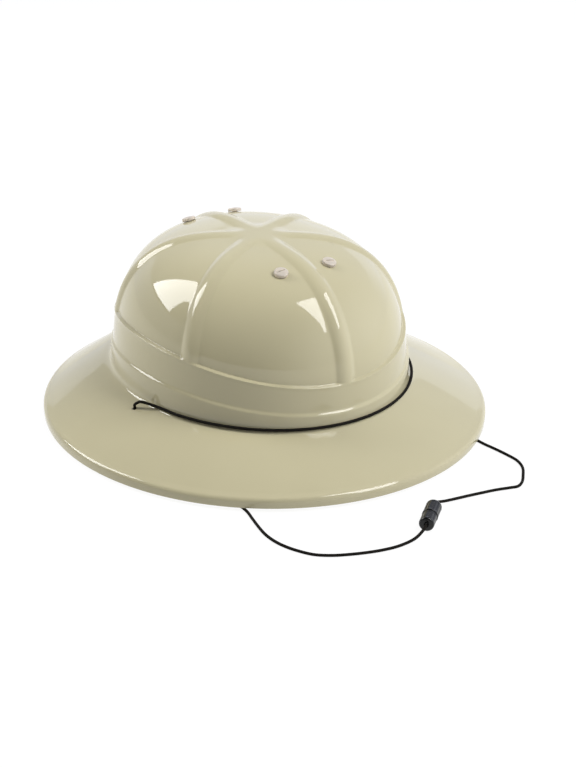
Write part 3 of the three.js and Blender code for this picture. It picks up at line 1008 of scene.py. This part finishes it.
def bump(height, strength, distance):
    return height.out(height.node("ShaderNodeBump", Height=height, Strength=strength, Distance=distance))


def link(surface, name, value):
    value.tree.links.new(value.socket, surface.inputs[name])


def keep_constant(surface, name, value):
    """Sets what is the same all over on the surface's own socket."""
    surface.inputs[name].default_value = value


SHELL_DARK = (0.425, 0.386, 0.245)
SHELL_LIGHT = (0.475, 0.436, 0.282)
RIVET_DARK = (0.70, 0.63, 0.53)
RIVET_LIGHT = (0.79, 0.71, 0.61)
CORD_DARK = (0.003, 0.0024, 0.0016)
CORD_LIGHT = (0.012, 0.0098, 0.0072)
CLASP_DARK = (0.002, 0.002, 0.002)
CLASP_LIGHT = (0.009, 0.009, 0.009)
# Turns of the fine thread for each turn of a strand
THREADS_PER_STRAND = 5


def khaki_plastic():
    """Glossy moulding with faint clouds of tone and a slight orange peel."""
    material, surface = new_finish("glossy_khaki_plastic")
    at = places(material)
    cloud = noise(at, scale=9.0, detail=3.0)
    flow = noise(at, scale=34.0, detail=4.0)
    fine = noise(at, scale=900.0, detail=2.0)
    orange_peel = noise(at, scale=260.0, detail=2.0)
    speck = noise(at, scale=2600.0, detail=1.0)
    link(surface, "Base Color", between(cloud * 0.65 + flow * 0.35, SHELL_DARK, SHELL_LIGHT))
    link(surface, "Roughness", 0.03 + 0.03 * flow + 0.015 * fine)
    link(surface, "Normal", bump(orange_peel * 0.8 + speck * 0.06, strength=0.05, distance=0.0002))
    keep_constant(surface, "Specular IOR Level", 0.42)
    return material


def rivet_plastic():
    """Milky plastic that lets some light through."""
    material, surface = new_finish("milky_rivet_plastic")
    at = places(material)
    cloud = noise(at, scale=300.0, detail=3.0)
    grain = noise(at, scale=1500.0, detail=2.0)
    link(surface, "Base Color", between(cloud, RIVET_DARK, RIVET_LIGHT))
    link(surface, "Roughness", 0.28 + 0.12 * cloud)
    link(surface, "Normal", bump(grain, strength=0.15, distance=0.0001))
    keep_constant(surface, "Transmission Weight", 0.4)
    keep_constant(surface, "IOR", 1.45)
    return material


def braided_elastic():
    """Black yarn whose strands cross, with fine threads and fuzz on them."""
    material, surface = new_finish("black_braided_elastic")
    at = places(material)
    u, v = places(material, "UV").parts()[:2]
    turns = math.pi * BRAID_CARRIERS
    cross = at.math("COSINE", (v + u) * turns) * at.math("COSINE", (v - u) * turns) * 0.5 + 0.5
    thread = at.math("SINE", (v + u) * (turns * THREADS_PER_STRAND))
    fuzz = noise(at, scale=5200.0, detail=2.0)
    link(surface, "Base Color", between(cross * 0.7 + fuzz * 0.3, CORD_DARK, CORD_LIGHT))
    link(surface, "Roughness", 0.7 + 0.2 * fuzz)
    link(surface, "Normal", bump(cross * 0.6 + thread * 0.12 + fuzz * 0.25, strength=0.7, distance=0.0001))
    keep_constant(surface, "Specular IOR Level", 0.1)
    return material


def clasp_plastic():
    """Black moulding with a fine grain."""
    material, surface = new_finish("black_clasp_plastic")
    at = places(material)
    cloud = noise(at, scale=420.0, detail=3.0)
    grain = noise(at, scale=3800.0, detail=2.0)
    link(surface, "Base Color", between(cloud, CLASP_DARK, CLASP_LIGHT))
    link(surface, "Roughness", 0.16 + 0.12 * cloud)
    link(surface, "Normal", bump(grain + cloud, strength=0.25, distance=0.0001))
    keep_constant(surface, "Specular IOR Level", 0.35)
    return material


def dress(material, *made):
    for one in made:
        one.data.materials.clear()
        one.data.materials.append(material)


dress(khaki_plastic(), helmet_shell)
dress(rivet_plastic(), *rivets)
dress(braided_elastic(), chin_left, chin_right, crown)
dress(clasp_plastic(), socket, plug)


# Floor, in metres

FLOOR_HALF = 20.0
FLOOR_TONE = (0.09, 0.09, 0.09, 1)
FLOOR_GLOW = 0.92


def pale_floor():
    """Paper that glows evenly, so that it stays pale in every view."""
    material, surface = new_finish("pale_floor")
    keep_constant(surface, "Base Color", FLOOR_TONE)
    keep_constant(surface, "Roughness", 0.9)
    keep_constant(surface, "Specular IOR Level", 0.1)
    keep_constant(surface, "Emission Color", (1, 1, 1, 1))
    keep_constant(surface, "Emission Strength", FLOOR_GLOW)
    return material


floor_corners = [(x * FLOOR_HALF, y * FLOOR_HALF, 0) for x, y in ((-1, -1), (1, -1), (1, 1), (-1, 1))]
floor = make_object("floor", floor_corners, [(0, 1, 2, 3)], smooth=False)
dress(pale_floor(), floor)


# Room: radiance all round, to the right, in front on the right, and of a pale backdrop low behind

ROOM = 0.035
ROOM_RIGHT = 0.6
ROOM_FRONT_RIGHT = 0.75
BACKDROP = 0.49
BACKDROP_TOP = math.sin(math.radians(17))
BACKDROP_EDGE = 0.006
RIGHT_WAY = (0.85, 0.5)
FRONT_RIGHT_WAY = (0.62, -0.78)
ROOM_TINT = (0.93, 0.97, 1.12, 1)


def studio():
    world = bpy.data.worlds.new("studio")
    world.use_nodes = True
    way = places(world, "Generated")
    x, y, z = way.parts()

    def ease(value, low, high):
        settings = {"interpolation_type": "SMOOTHSTEP"}
        return way.out(way.node("ShaderNodeMapRange", settings, Value=value, From_Min=low, From_Max=high))

    to_right = ease(x * RIGHT_WAY[0] + y * RIGHT_WAY[1], low=-0.35, high=1.0)
    front_right = ease(x * FRONT_RIGHT_WAY[0] + y * FRONT_RIGHT_WAY[1], low=0.35, high=1.0)
    above = ease(z, low=BACKDROP_TOP - BACKDROP_EDGE, high=BACKDROP_TOP + BACKDROP_EDGE)
    behind = ease(y, low=0.1, high=0.5) * (1 - above)
    strength = ROOM + ROOM_RIGHT * to_right + ROOM_FRONT_RIGHT * front_right + BACKDROP * behind
    background = world.node_tree.nodes["Background"]
    link(background, "Strength", strength)
    keep_constant(background, "Color", ROOM_TINT)
    bpy.context.scene.world = world


# Banks of light, in metres

# The front bank lies level overhead, in front on the right
FRONT_CORNER = Vector((0.148, -0.333, 1.3))
FRONT_ALONG = Vector((0.4056, -1.494, 0))
FRONT_ACROSS = Vector((0.637, 0.173, 0))
FRONT_RADIANCE = 10.5
# The rear bank stands upright behind on the left. Its lower edge runs between two directions from a pivot.
REAR_PIVOT = Vector((-0.07, -0.01, 0.55))
REAR_DISTANCE = 1.36
REAR_START, REAR_END = -126, -156
REAR_HEIGHT = 1.45
REAR_RADIANCE = 10.1


def direction(azimuth):
    """The level way out from the helmet, from the front round to the wearer's left, in degrees."""
    return Vector((math.sin(math.radians(azimuth)), -math.cos(math.radians(azimuth)), 0))


def softbox(name, corner, along, across, radiance):
    """A rectangle of light from its corner and its two sides, facing the helmet."""
    data = bpy.data.lights.new(name, "AREA")
    data.shape = "RECTANGLE"
    data.size, data.size_y = along.length, across.length
    data.energy = radiance * math.pi * along.length * across.length
    made = bpy.data.objects.new(name, data)
    centre = corner + (along + across) / 2
    x, y = along.normalized(), across.normalized()
    z = x.cross(y)
    if z.dot(centre) < 0:
        x, z = -x, -z
    made.matrix_world = Matrix.Translation(centre) @ Matrix((x, y, z)).transposed().to_4x4()
    bpy.context.scene.collection.objects.link(made)


studio()
softbox("front_bank", FRONT_CORNER, FRONT_ALONG, FRONT_ACROSS, FRONT_RADIANCE)
rear_start = REAR_PIVOT + direction(REAR_START) * REAR_DISTANCE
rear_end = REAR_PIVOT + direction(REAR_END) * REAR_DISTANCE
softbox("rear_bank", rear_start, rear_end - rear_start, Vector((0, 0, REAR_HEIGHT)), REAR_RADIANCE)

bpy.context.scene.view_settings.view_transform = "Standard"
